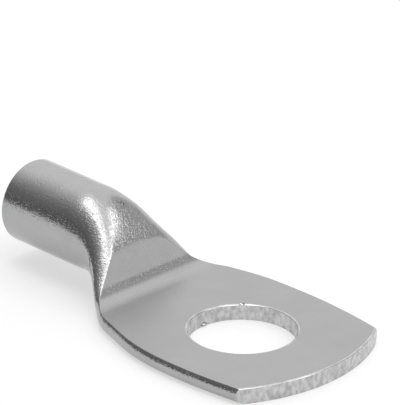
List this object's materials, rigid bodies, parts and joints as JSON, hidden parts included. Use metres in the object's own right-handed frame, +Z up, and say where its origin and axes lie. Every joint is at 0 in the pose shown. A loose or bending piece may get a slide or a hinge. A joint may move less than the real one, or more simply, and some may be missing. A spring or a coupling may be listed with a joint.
{
  "type": "tubular cable lug",
  "caption": "Tubular cable lug: a round barrel that takes a stripped conductor, pressed flat at its other end into a palm pierced for a terminal stud.",
  "frame": {"origin": "centre of the stud hole, on the underside of the palm", "axes": "+X along the lug from the barrel to the tip of the palm, +Y across the palm, +Z up out of the palm's upper face, on the side to which the barrel is raised"},
  "size_m": [0.0503, 0.0254, 0.0119],
  "materials": {
    "tinned_copper": "satin tin plating"
  },
  "bodies": {
    "root": {"lug_body": "tinned_copper"}
  },
  "joints": []
}
